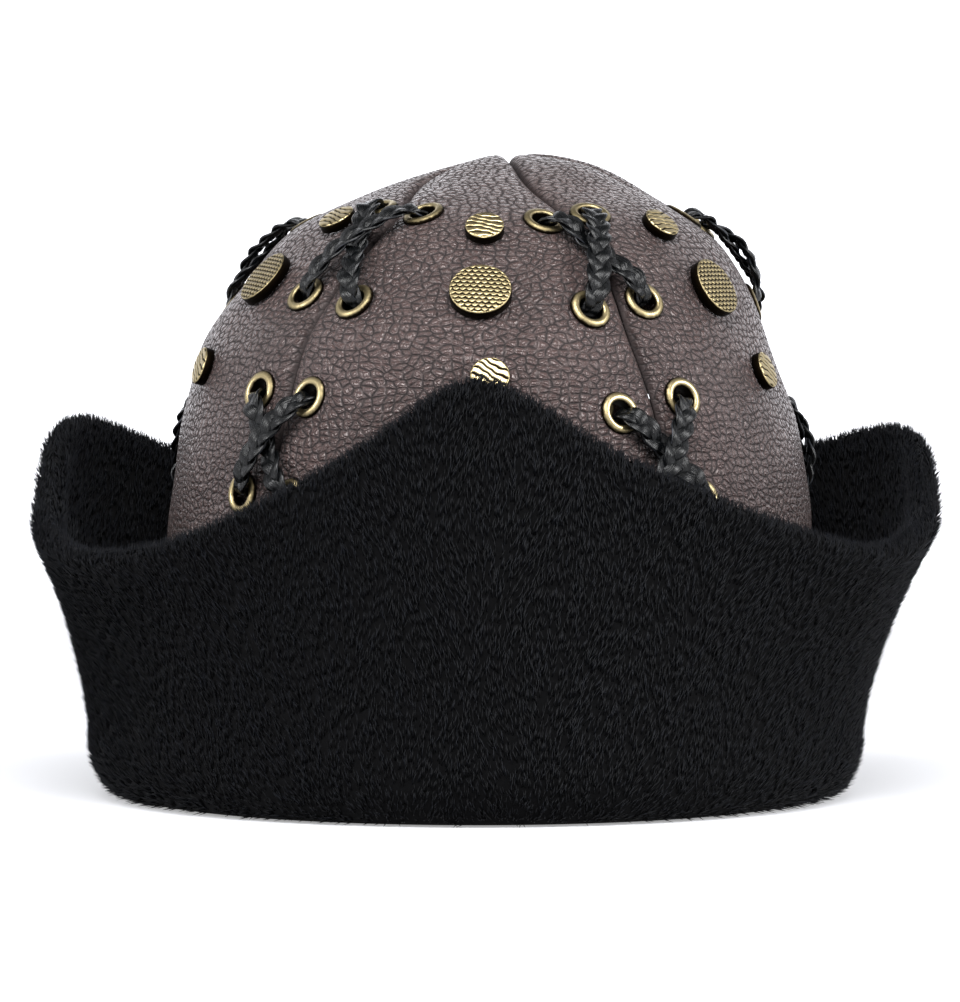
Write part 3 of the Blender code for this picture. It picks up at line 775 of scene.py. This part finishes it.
class BORK_OT_eyelets(bpy.types.Operator):
    """Make the brass eyelets, crimped through each gore"""

    bl_idname = "bork.eyelets"
    bl_label = "Eyelets"

    def execute(self, context):
        looks = context.scene.bork_brass
        material = bpy.data.materials.get("antiqued brass") or brass_material(looks)
        section = np.array(EYELET_SECTION)
        turn = np.linspace(0, 2 * np.pi, looks.eyelet_sides, endpoint=False)[:, None]
        out, level = section[:, 0] * MM, section[:, 1] * MM + 0 * turn
        ring = np.stack([out * np.cos(turn), out * np.sin(turn), level], axis=-1)
        faces = grid_faces(*ring.shape[:2], (True, True))
        wear = np.tile(section[:, 2], looks.eyelet_sides)
        for gore, (name, *_) in enumerate(GORES):
            places = [placed(found, ring.reshape(-1, 3)) for found in gore_eyelets(gore)]
            points, joined, values = join_shapes([(place, faces, wear) for place in places])
            nodes, values = [f"gore_{name}"], {"wear": values}
            make_piece(f"eyelets_{name}", points, joined, material, "antique_brass", nodes, values)
        return {"FINISHED"}


def through_eyelet(found, strand, inside):
    """Points, side vectors and widths of a lace from the outside to the inside of one eyelet."""
    point, right, _, out = found
    sides = []
    for way in (strand, inside):
        side = np.cross(out, way)
        side *= np.sign(side @ right) or 1.0
        sides.append(unit(side))
    rows = []
    for share, (distance, height, width) in zip((0, 0, 0.5, 1, 1), LACE_THROUGH):
        way = strand if height > 0 else inside
        place = point + way * distance * MM + out * height * MM
        rows.append((place, sides[0] * (1 - share) + sides[1] * share, width))
    return rows


def across_leather(start, end, lifts):
    """Points of a strand between two eyelets, over the leather by the heights given. A sheet that
    curves by an angle between two points rises over the straight way by distance * angle / 8."""
    way = end[0] - start[0]
    turn = np.arccos(np.clip(start[3] @ end[3], -1, 1))
    bow = np.linalg.norm(way) * turn / 8
    out = unit(start[3] + end[3])
    side = unit(np.cross(out, way))
    side = side * np.sign(side @ start[1])
    return [
        (start[0] + way * share + out * (bow * 4 * share * (1 - share) + lift * MM), side, 1.0)
        for (share, _, _), lift in zip(LACE_ACROSS, lifts)
    ]


def unit_way(start, end):
    """The direction from one eyelet to another, laid along the leather round the first."""
    way = end[0] - start[0]
    return unit(way - start[3] * (way @ start[3]))


def lace_route(seam, cross):
    """One lace through its four eyelets: it comes out at the upper left, crosses under to the lower
    right, runs up inside, comes out at the upper right, and crosses over to the lower left."""
    upper_left, upper_right = (eyelet_frame(seam, side, cross, 1) for side in (-1, 1))
    lower_left, lower_right = (eyelet_frame(seam, side, cross, 2) for side in (-1, 1))
    route = []
    for start, end, lifts, before, after in (
        (upper_left, lower_right, [row[1] for row in LACE_ACROSS], lower_left, upper_right),
        (upper_right, lower_left, [row[2] for row in LACE_ACROSS], lower_right, upper_left),
    ):
        leaving = through_eyelet(start, unit_way(start, end), unit_way(start, before))
        entering = through_eyelet(end, unit_way(end, start), unit_way(end, after))
        route += leaving[::-1] + across_leather(start, end, lifts) + entering
    return route


def closed_curve(rows, count):
    """Evenly spaced rows on a closed cubic curve through the rows given, and its length. The first
    three columns are a place."""
    looped = np.concatenate([rows[-3:], rows, rows[:3]])
    steps = np.linalg.norm(np.diff(looped[:, :3], axis=0), axis=1)
    along = np.concatenate([[0.0], np.cumsum(steps)])
    start, end = along[3], along[3 + len(rows)]
    fine = smooth(along, looped, np.linspace(start, end, 40 * len(rows)))
    steps = np.linalg.norm(np.diff(fine[:, :3], axis=0), axis=1)
    lengths = np.concatenate([[0.0], np.cumsum(steps)])
    even = np.linspace(0, lengths[-1], count, endpoint=False)
    return np.stack([np.interp(even, lengths, column) for column in fine.T], axis=-1), lengths[-1]


def braid(route, looks, count=170, sides=8):
    """A flat braid of three strands along a closed route. Each strand swings across the lace as
    sin(t) and in and out of it as sin(2 t), a third of a turn after the one before, and its section
    is a squared ellipse that tips over as the strand turns back at the edge."""
    rows = np.array([(*place, *side, width) for place, side, width in route])
    curve, length = closed_curve(rows, count)
    centre, side, share = curve[:, :3], curve[:, 3:6], curve[:, 6:7]
    ahead = unit(np.roll(centre, -1, axis=0) - np.roll(centre, 1, axis=0))
    side = unit(side - ahead * (side * ahead).sum(axis=1, keepdims=True))
    out = np.cross(side, ahead)
    turns = max(1, round(length / looks.pitch))
    angle = np.linspace(0, 2 * np.pi * turns, count, endpoint=False)[:, None]
    swing = (LACE_WIDTH - looks.strand_width) / 2
    sink = STRAND_SINK * looks.strand_thickness
    round_angle = np.linspace(0, 2 * np.pi, sides, endpoint=False)
    squared = np.stack([np.cos(round_angle), np.sin(round_angle)])
    squared = np.sign(squared) * np.abs(squared) ** STRAND_SQUARE
    shapes, along = [], np.repeat(np.linspace(0, length / LACE_GRAIN, count), sides)
    for strand in range(3):
        t = angle + 2 * np.pi * strand / 3
        path = centre + side * share * swing * np.sin(t) * STRAND_SWING + out * sink * np.sin(2 * t)
        way = unit(np.roll(path, -1, axis=0) - np.roll(path, 1, axis=0))
        flat = unit(np.cross(way, out))
        tip = -STRAND_TIP * np.sin(t)
        lean = flat * np.cos(tip) + out * np.sin(tip)
        wide = (lean * looks.strand_width / 2 * share)[:, None]
        thick = (unit(np.cross(lean, way)) * looks.strand_thickness / 2)[:, None]
        rings = path[:, None] + wide * squared[0][:, None] + thick * squared[1][:, None]
        # across the strip in mm, and far from the next strand's
        around = np.tile(squared[0] * looks.strand_width / MM + 9.0 * strand, count)
        wear = np.tile(np.abs(squared[0]) ** 4, count)
        values = np.stack([wear, along, around], axis=1)
        shapes.append((rings.reshape(-1, 3), grid_faces(count, sides, (True, True)), values))
    return join_shapes(shapes)


class BORK_OT_laces(bpy.types.Operator):
    """Make the braided laces, crossed through their eyelets"""

    bl_idname = "bork.laces"
    bl_label = "Laces"

    def execute(self, context):
        looks = context.scene.bork_lace
        material = lace_material(looks)
        for seam, (name, *_) in enumerate(SEAMS):
            for cross in CROSSES:
                points, faces, values = braid(lace_route(seam, cross), looks)
                values = dict(zip(("wear", "along", "around"), values.T))
                place = f"{name}_{cross[0]}"
                nodes = [f"lace_{place}"]
                make_piece(f"braid_{place}", points, faces, material, "black_lace", nodes, values)
        return {"FINISHED"}


def disc_grid(rows):
    """Points of a disc of radius 1 on a square grid: each square ring is bent to a circle."""
    line = np.linspace(-1.0, 1.0, rows)
    y, x = np.meshgrid(line, line, indexing="ij")
    reach = np.maximum(np.abs(x), np.abs(y))
    flat = np.abs(x) >= np.abs(y)
    angle = np.where(
        flat,
        np.pi / 4 * y / np.where(x == 0, 1, x),
        np.pi / 2 - np.pi / 4 * x / np.where(y == 0, 1, y),
    )
    sign = np.where(flat, np.sign(x), np.sign(y))
    return reach * sign * np.cos(angle), reach * sign * np.sin(angle)


def grooved(x, y):
    """Grooves 1.7 mm apart, bent by two slow waves: the share of a ridge's height at each place."""
    across = y + 0.22 * x + 0.35 * np.sin(0.7 * x + 0.5 * y) + 0.12 * np.sin(1.9 * x - 0.9 * y)
    ridge = 1 - np.abs(np.mod(across / 1.7, 1.0) - 0.5) * 2
    return np.clip((ridge - 0.13) / 0.27, 0, 1)


def scaled(x, y):
    """Fish scales in staggered rows, in mm: each is a squared disc round its root, the row above
    lies over the row below, and a scale is highest along its rounded lower edge."""
    wide, pitch, reach, groove = 1.85, 1.3, 1.12, 0.3
    height = np.zeros_like(x)
    for above in (0, 1, 2):
        row = np.floor(y / pitch) + above
        across = (np.mod(x / wide + 0.5 * np.mod(row, 2), 1.0) - 0.5) * wide
        down = row * pitch - y
        away = (np.abs(across) ** 1.6 + np.abs(down) ** 1.6) ** (1 / 1.6)
        scale = np.clip((reach - away) / 0.2, 0, 1) * (0.6 + 0.4 * np.clip(down / reach, 0, 1))
        height = np.where(away < reach + groove, scale, height)
    return height


def stud(size, pattern, turn):
    """A stud's closed body on a square grid bent to a disc: a domed face whose pattern stands out
    of it inside a plain rim, a rounded edge, and a flat underside."""
    radius, thickness, dome, rows = STUD_SIZES[size]
    x, y = disc_grid(rows)
    reach = np.hypot(x, y)
    face = np.cos(turn) * x - np.sin(turn) * y, np.sin(turn) * x + np.cos(turn) * y
    relief = pattern(face[0] * radius / MM, face[1] * radius / MM)
    margin = np.clip((0.96 - reach) / 0.02, 0, 1)
    relief = relief * margin + (1 - margin)
    edge = np.clip((reach - 0.9) / 0.1, 0, 1)
    height = thickness + dome * (1 - reach**2) + STUD_RELIEF * (relief - 1)
    height = height - STUD_ROUNDING * edge**3
    top = np.stack([x * radius, y * radius, height], axis=-1).reshape(-1, 3)
    index = np.arange(rows * rows).reshape(rows, rows)
    rim = np.concatenate([index[0, :-1], index[:-1, -1], index[-1, :0:-1], index[:0:-1, 0]])
    foot = np.arange(len(rim)) + rows * rows
    walls = np.column_stack([foot, np.roll(foot, -1), np.roll(rim, -1), rim])
    middle = np.full(len(rim) // 2, foot[-1] + 1)
    under = np.column_stack([np.roll(foot, -2)[::2], foot[1::2], foot[::2], middle])
    points = np.concatenate([top, top[rim] * (1, 1, 0), [(0.0, 0.0, 0.0)]])
    # brighter where the relief is higher: antiquing rubbed off, and on the fish scales also a
    # painted highlight along each lower edge; dark at the rounded edge and on the sides, painted
    # shade as well as antiquing
    wear = np.concatenate([(relief * (1 - edge**4)).ravel(), np.zeros(len(rim) + 1)])
    return points, np.concatenate([grid_faces(rows, rows), walls, under]), wear


class BORK_OT_studs(bpy.types.Operator):
    """Make the brass studs, three down the middle of each gore"""

    bl_idname = "bork.studs"
    bl_label = "Studs"

    def execute(self, context):
        looks = context.scene.bork_brass
        material = bpy.data.materials.get("antiqued brass") or brass_material(looks)
        for gore, (name, *_) in enumerate(GORES):
            shapes = []
            for index, (found, size) in enumerate(gore_studs(gore)):
                pattern = scaled if size == "big" else grooved
                points, faces, wear = stud(size, pattern, 0.2 * index if size == "small" else 0.0)
                points = points + (0, 0, STUD_LIFT)
                shapes.append((placed(found, points), faces, wear))
            points, faces, wear = join_shapes(shapes)
            nodes, values = [f"stud_{name}_{place}" for place, _ in STUDS], {"wear": wear}
            make_piece(f"studs_{name}", points, faces, material, "antique_brass", nodes, values)
        return {"FINISHED"}


def brim_grid(azimuth, whole=False):
    """The brim's surface, a row for each azimuth, either the whole way round or a part of it. A
    section runs along the flat underside, round a quarter of an ellipse, up the outer face as
    share^lateness, over the rim's half circle, down the inner face, and along the floor of the gap.
    With it come how deep the backing lies under the pile's tips, how dense the pile is, and which
    way it lies along the section."""
    rows = np.array(RIM)
    rows = np.vstack([rows[-3:] - (360, 0, 0, 0), rows, rows[:3] + (360, 0, 0, 0)])
    crest = smooth(rows[:, 0], rows[:, 1:], (azimuth + 180.0) % 360.0 - 180.0)
    height, reach, lateness = crest[:, 0] * MM, crest[:, 1] * MM, crest[:, 2]
    angle = np.radians(azimuth)
    at_end, shift = np.cos(angle) ** 2, BASE_SHIFT * np.sin(angle)
    flat_edge = BASE_FLAT[0] + (BASE_FLAT[1] - BASE_FLAT[0]) * at_end - shift
    wall_out = BASE_WALL[0] + (BASE_WALL[1] - BASE_WALL[0]) * at_end - shift
    shoulder = height - RIM_RADIUS
    inner_foot = wall_out - 2 * RIM_RADIUS
    flat = np.ones_like(azimuth)
    # Each place: distance out, height, depth of the backing in mm, density and way of the pile
    places = []
    for share in np.linspace(0, 1, 4)[:-1]:
        places.append((BRIM_HOLE + (flat_edge - BRIM_HOLE) * share, 0 * flat, 0.1, 0.0, 1.0))
    for turn in np.linspace(0, np.pi / 2, 10)[:-1]:
        out = flat_edge + (wall_out - flat_edge) * np.sin(turn)
        deep, dense = 0.4 + 0.8 * np.sin(turn) ** 2, min(1.0, 3 * np.sin(turn))
        places.append((out, BASE_FOLD * (1 - np.cos(turn)) * flat, deep, dense, 1.0))
    for share in np.linspace(0, 1, 26)[:-1]:
        out = wall_out + (reach + RIM_RADIUS - wall_out) * share**lateness
        level = BASE_FOLD + (shoulder - BASE_FOLD) * share
        places.append((out, level, 1.2 - 0.6 * share**4, 1.0, 1.0))
    for turn in np.linspace(0, np.pi, 13):
        lay, level = np.cos(turn), shoulder + RIM_RADIUS * np.sin(turn)
        places.append((reach + RIM_RADIUS * lay, level, 0.6, 1.9, lay))
    for share in np.linspace(1, 0, 22)[1:]:
        out = inner_foot + (reach - RIM_RADIUS - inner_foot) * share**lateness
        level = BASE_FOLD + (shoulder - BASE_FOLD) * share
        deep = 1.2 * min(1, 0.2 + 3 * share) - 0.6 * share**4
        places.append((out, level, deep, 0.75, -1.0))
    for share in (0.35, 0.7, 1.0):
        out = inner_foot + (GAP_FLOOR - inner_foot) * share
        rise = BASE_THICKNESS + GAP_RISE * 4 * share * (1 - share)
        rise = rise + (BASE_FOLD - BASE_THICKNESS) * (1 - share) ** 3
        places.append((out, rise * flat, 0.4, 0.4, -1.0))
    places.append((BRIM_HOLE * flat, BASE_THICKNESS * flat, 0.0, 0.0, -1.0))
    out, level = (np.stack([place[i] for place in places], axis=1) for i in (0, 1))
    deep, dense, lay = (np.array([place[i] for place in places]) for i in (2, 3, 4))
    across = (HALF_WIDTH + out) * np.sin(angle)[:, None]
    back = -(HALF_DEPTH + out) * np.cos(angle)[:, None]
    points = np.stack([across, back, level], axis=-1)
    normals = grid_normals(points.transpose(1, 0, 2), (True, whole)).transpose(1, 0, 2)
    return points, normals, deep * MM, dense, lay


class BORK_OT_brim(bpy.types.Operator):
    """Make the brim's backing, under its pile"""

    bl_idname = "bork.brim"
    bl_label = "Brim"

    def execute(self, context):
        azimuth = np.linspace(-180.0, 180.0, 180, endpoint=False)
        points, normals, deep, _, _ = brim_grid(azimuth, whole=True)
        points = points - normals * deep[None, :, None]
        faces = grid_faces(*points.shape[:2], (True, True))[:, ::-1]
        points, material = points.reshape(-1, 3), backing_material(context.scene.bork_fur)
        make_piece("brim_backing", points, faces, material, "black_fur", ["fur_brim"])
        return {"FINISHED"}


def pile(azimuths, count, looks, seed):
    """Straight hairs, each a thin closed three-sided spike. Roots are spread over the backing by
    its density. A hair leaves along normal * HAIR_OUT + lay * HAIR_ALONG, turned by slow waves over
    the brim and a little by chance."""
    chance = np.random.default_rng(seed)
    points, normals, deep, dense, lay = brim_grid(azimuths)
    backing = points - normals * deep[None, :, None]
    along = unit(np.gradient(points, axis=1))
    sideways = np.cross(normals, along)
    span = np.linalg.norm(np.diff(backing, axis=1), axis=-1)
    step = np.linalg.norm(np.diff(backing, axis=0), axis=-1)
    weight = span[:-1] * step[:, :-1] * dense[None, :-1]
    cell = chance.choice(weight.size, count, p=(weight / weight.sum()).ravel())
    row, column = np.divmod(cell, weight.shape[1])
    u, v = chance.random((2, count, 1))

    def spread(grid):
        low = grid[row, column] * (1 - v) + grid[row, column + 1] * v
        high = grid[row + 1, column] * (1 - v) + grid[row + 1, column + 1] * v
        return low * (1 - u) + high * u

    root, normal, way, side = (spread(grid) for grid in (backing, normals, along, sideways))
    lies = lay[column] + (lay[column + 1] - lay[column]) * v[:, 0]
    azimuth, height = azimuths[row] + u[:, 0] * (azimuths[1] - azimuths[0]), root[:, 2] / MM
    waves = np.sin(0.21 * azimuth + 0.05 * height) + np.sin(0.09 * height - 0.4 * azimuth + 1.0)
    lean = SWIRL * waves + chance.normal(0, SIDE_SPREAD, count)
    lift = HAIR_OUT + chance.normal(0, OUT_SPREAD, count)
    hair = normal * lift[:, None] + way * (HAIR_ALONG * lies)[:, None] + side * lean[:, None]
    length = looks.length * (SHORTEST + LONGER * chance.random(count))
    length = length * (1 - RIM_TRIM * (1 - np.abs(lies)))
    tip = root + unit(hair) * length[:, None]
    tip[:, 2] = np.maximum(tip[:, 2], 0.2 * MM)
    hair = unit(tip - root)
    first = unit(np.cross(hair, normal + 0.3 * side))
    second = np.cross(hair, first)
    corners = [
        root + (first * math.cos(turn) + second * math.sin(turn)) * looks.thickness / 2
        for turn in np.radians((90.0, 210.0, 330.0))
    ]
    hairs = np.stack([*corners, tip], axis=1)
    hairs[..., 2] = np.maximum(hairs[..., 2], 0.1 * MM)
    sides = np.array([(0, 1, 3), (1, 2, 3), (2, 0, 3), (0, 2, 1)])
    faces = (np.arange(count)[:, None, None] * 4 + sides).reshape(-1, 3)
    # roots near the root colour, tips lighter: dye, and on the tips partly a painted sheen
    light = chance.random(count) ** 3
    tone = np.stack([light * ROOT_TONE] * 3 + [TIP_TONE_AND_SHEEN + (1 - TIP_TONE_AND_SHEEN) * light], axis=1)
    return hairs.reshape(-1, 3), faces, tone.ravel()


class BORK_OT_fur(bpy.types.Operator):
    """Make the pile on the brim, a quarter of the way round at a time"""

    bl_idname = "bork.fur"
    bl_label = "Fur"

    def execute(self, context):
        looks = context.scene.bork_fur
        material = fur_material(looks)
        for quarter, name in enumerate(("front", "right", "back", "left")):
            azimuths = np.linspace(90.0 * quarter - 45.0, 90.0 * quarter + 45.0, 61)
            points, faces, tone = pile(azimuths, looks.hairs // 4, looks, seed=quarter)
            values = {"tone": tone}
            make_piece(f"pile_{name}", points, faces, material, "black_fur", ["fur_brim"], values)
        return {"FINISHED"}


class BORK_OT_stage(bpy.types.Operator):
    """Set the floor, the lights and the camera"""

    bl_idname = "bork.stage"
    bl_label = "Stage"

    def execute(self, context):
        looks = context.scene.bork_stage
        self.add_floor(looks)
        self.add_lights(context, looks)
        camera = bpy.data.cameras.new("camera")
        camera.sensor_fit = "VERTICAL"
        camera.sensor_height = SENSOR
        camera.lens = PHOTO_FOCUS * SENSOR / PHOTO_HEIGHT
        camera.clip_end = 20.0
        held = bpy.data.objects.new("camera", camera)
        held.location = (-HAT_MIDDLE[0], -CAMERA_BACK - HAT_MIDDLE[1], CAMERA_HEIGHT)
        held.rotation_euler = (math.pi / 2 - math.atan(CAMERA_DROP / CAMERA_BACK), 0.0, 0.0)
        context.scene.collection.objects.link(held)
        context.scene.camera = held
        return {"FINISHED"}

    def add_floor(self, looks):
        """A sweep all round the hat: level, then up a quarter circle and straight up, turned about
        the hat's axis. It glows a little, so that it is pale from every side."""
        turn = np.linspace(0, np.pi / 2, 24)
        wall = FLOOR_LEVEL + FLOOR_BEND
        reach = np.concatenate([[0.001], FLOOR_LEVEL + FLOOR_BEND * np.sin(turn), [wall]])[:, None]
        rise = np.concatenate([[0.0], FLOOR_BEND * (1 - np.cos(turn)), [FLOOR_TOP]])[:, None]
        angle = np.linspace(0, 2 * np.pi, 96, endpoint=False)[None, :]
        across, back = reach * np.sin(angle), -reach * np.cos(angle)
        points = np.stack([across, back, rise + 0 * angle], axis=-1)
        mesh = bpy.data.meshes.new("floor")
        faces = grid_faces(*points.shape[:2], (False, True))[:, ::-1]
        mesh.from_pydata(points.reshape(-1, 3).tolist(), [], faces.tolist())
        mesh.shade_smooth()
        # matt white paper, with barely any gloss
        material, _ = new_material(
            "seamless paper",
            Base_Color=shade(looks.floor),
            Roughness=0.9,
            Specular_IOR_Level=0.1,
            Emission_Color=(1.0, 1.0, 1.0, 1.0),
            Emission_Strength=looks.glow,
        )
        mesh.materials.append(material)
        floor = bpy.data.objects.new("floor", mesh)
        bpy.context.scene.collection.objects.link(floor)

    def add_lights(self, context, looks):
        world = bpy.data.worlds.new("studio")
        world.use_nodes = True
        background = world.node_tree.nodes["Background"]
        background.inputs["Color"].default_value = (0.97, 0.98, 1.0, 1.0)
        background.inputs["Strength"].default_value = looks.sky
        context.scene.world = world
        context.scene.view_settings.view_transform = "Standard"
        for name, place, aim, size, share in LAMPS:
            light = bpy.data.lights.new(name, "AREA")
            light.size = size
            light.energy = looks.softbox * share
            lamp = bpy.data.objects.new(name, light)
            lamp.location = place
            way = Vector(aim) - Vector(place)
            lamp.rotation_euler = way.to_track_quat("-Z", "Y").to_euler()
            context.scene.collection.objects.link(lamp)


OPERATORS = (
    BORK_OT_gores,
    BORK_OT_eyelets,
    BORK_OT_laces,
    BORK_OT_studs,
    BORK_OT_brim,
    BORK_OT_fur,
    BORK_OT_stage,
)
GROUPS = {
    "bork_leather": BORK_PG_leather,
    "bork_brass": BORK_PG_brass,
    "bork_lace": BORK_PG_lace,
    "bork_fur": BORK_PG_fur,
    "bork_stage": BORK_PG_stage,
}


class BORK_PT_panel(bpy.types.Panel):
    """Lists the hat's pieces and the sizes and colours that they take"""

    bl_idname = "BORK_PT_panel"
    bl_label = "Bork Hat"
    bl_space_type = "VIEW_3D"
    bl_region_type = "UI"
    bl_category = "Bork Hat"

    def draw(self, context):
        for key, group in GROUPS.items():
            box = self.layout.box()
            for prop in group.__annotations__:
                box.prop(getattr(context.scene, key), prop)
        for operator in OPERATORS:
            self.layout.operator(operator.bl_idname)


def register():
    for group in GROUPS.values():
        bpy.utils.register_class(group)
    for key, group in GROUPS.items():
        setattr(bpy.types.Scene, key, PointerProperty(type=group))
    for cls in (*OPERATORS, BORK_PT_panel):
        bpy.utils.register_class(cls)


def unregister():
    for cls in (BORK_PT_panel, *reversed(OPERATORS)):
        bpy.utils.unregister_class(cls)
    for key, group in GROUPS.items():
        delattr(bpy.types.Scene, key)
        bpy.utils.unregister_class(group)


def main():
    register()
    for operator in OPERATORS:
        group, name = operator.bl_idname.split(".")
        getattr(getattr(bpy.ops, group), name)()


if __name__ == "__main__":
    main()
